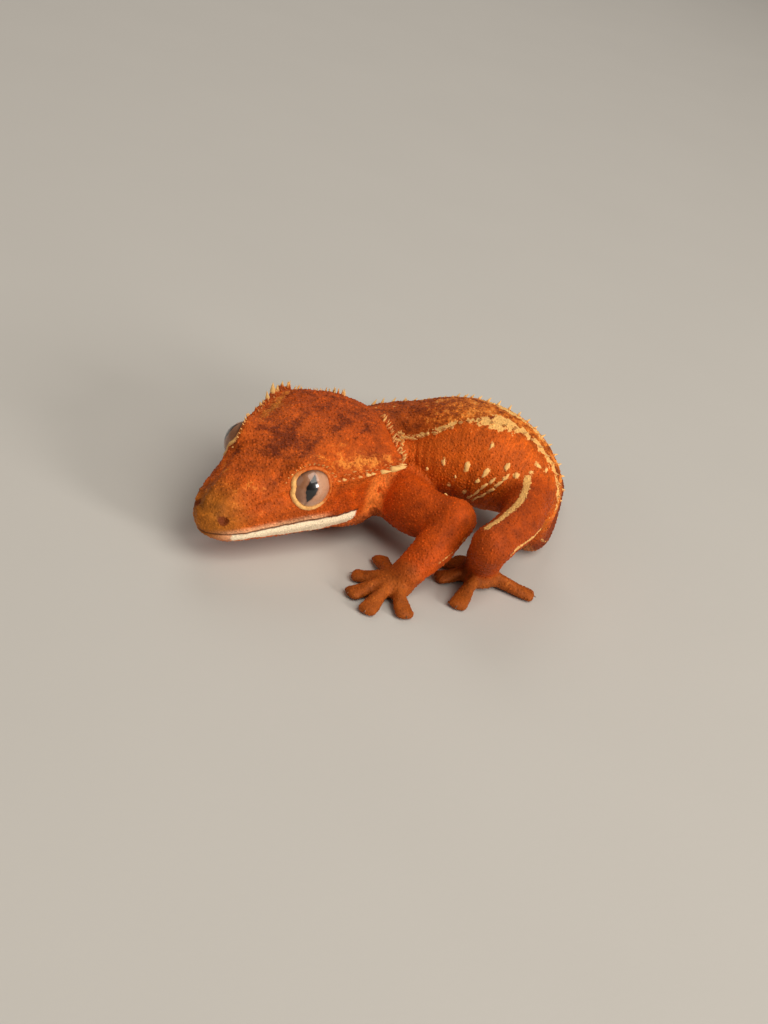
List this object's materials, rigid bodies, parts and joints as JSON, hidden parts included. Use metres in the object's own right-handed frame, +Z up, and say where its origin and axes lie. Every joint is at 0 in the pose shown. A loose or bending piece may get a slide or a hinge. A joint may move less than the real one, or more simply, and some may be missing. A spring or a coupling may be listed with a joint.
{
  "type": "crested gecko",
  "caption": "Crested gecko, a still life-size model, crouched with its back arched, its head turned to its left and its tail curled on the floor behind it.",
  "frame": {"origin": "centre of the footprint, on the floor", "axes": "+X from the head end of the trunk towards its tail end, -Y the gecko's left side and the side that its head is turned to, +Z up"},
  "size_m": [0.054, 0.0676, 0.0218],
  "materials": {
    "skin": "matt granular scales, rust orange",
    "hands_and_feet": "fine scales, tan orange",
    "lip": "smooth plates, cream",
    "eye": "wet and clear over a pinkish grey iris"
  },
  "bodies": {
    "root": {"head": "skin", "lower_jaw": "lip", "eye_left": "eye", "eye_right": "eye", "neck": "skin", "chest": "skin", "belly": "skin", "rump": "skin", "tail_base": "skin", "tail_front": "skin", "tail_middle": "skin", "tail_tip": "skin", "left_upper_arm": "skin", "left_forearm": "skin", "left_hand": "hands_and_feet", "right_upper_arm": "skin", "right_forearm": "skin", "right_hand": "hands_and_feet", "left_thigh": "skin", "left_shin": "skin", "left_foot": "hands_and_feet", "right_thigh": "skin", "right_shin": "skin", "right_foot": "hands_and_feet"}
  },
  "joints": []
}
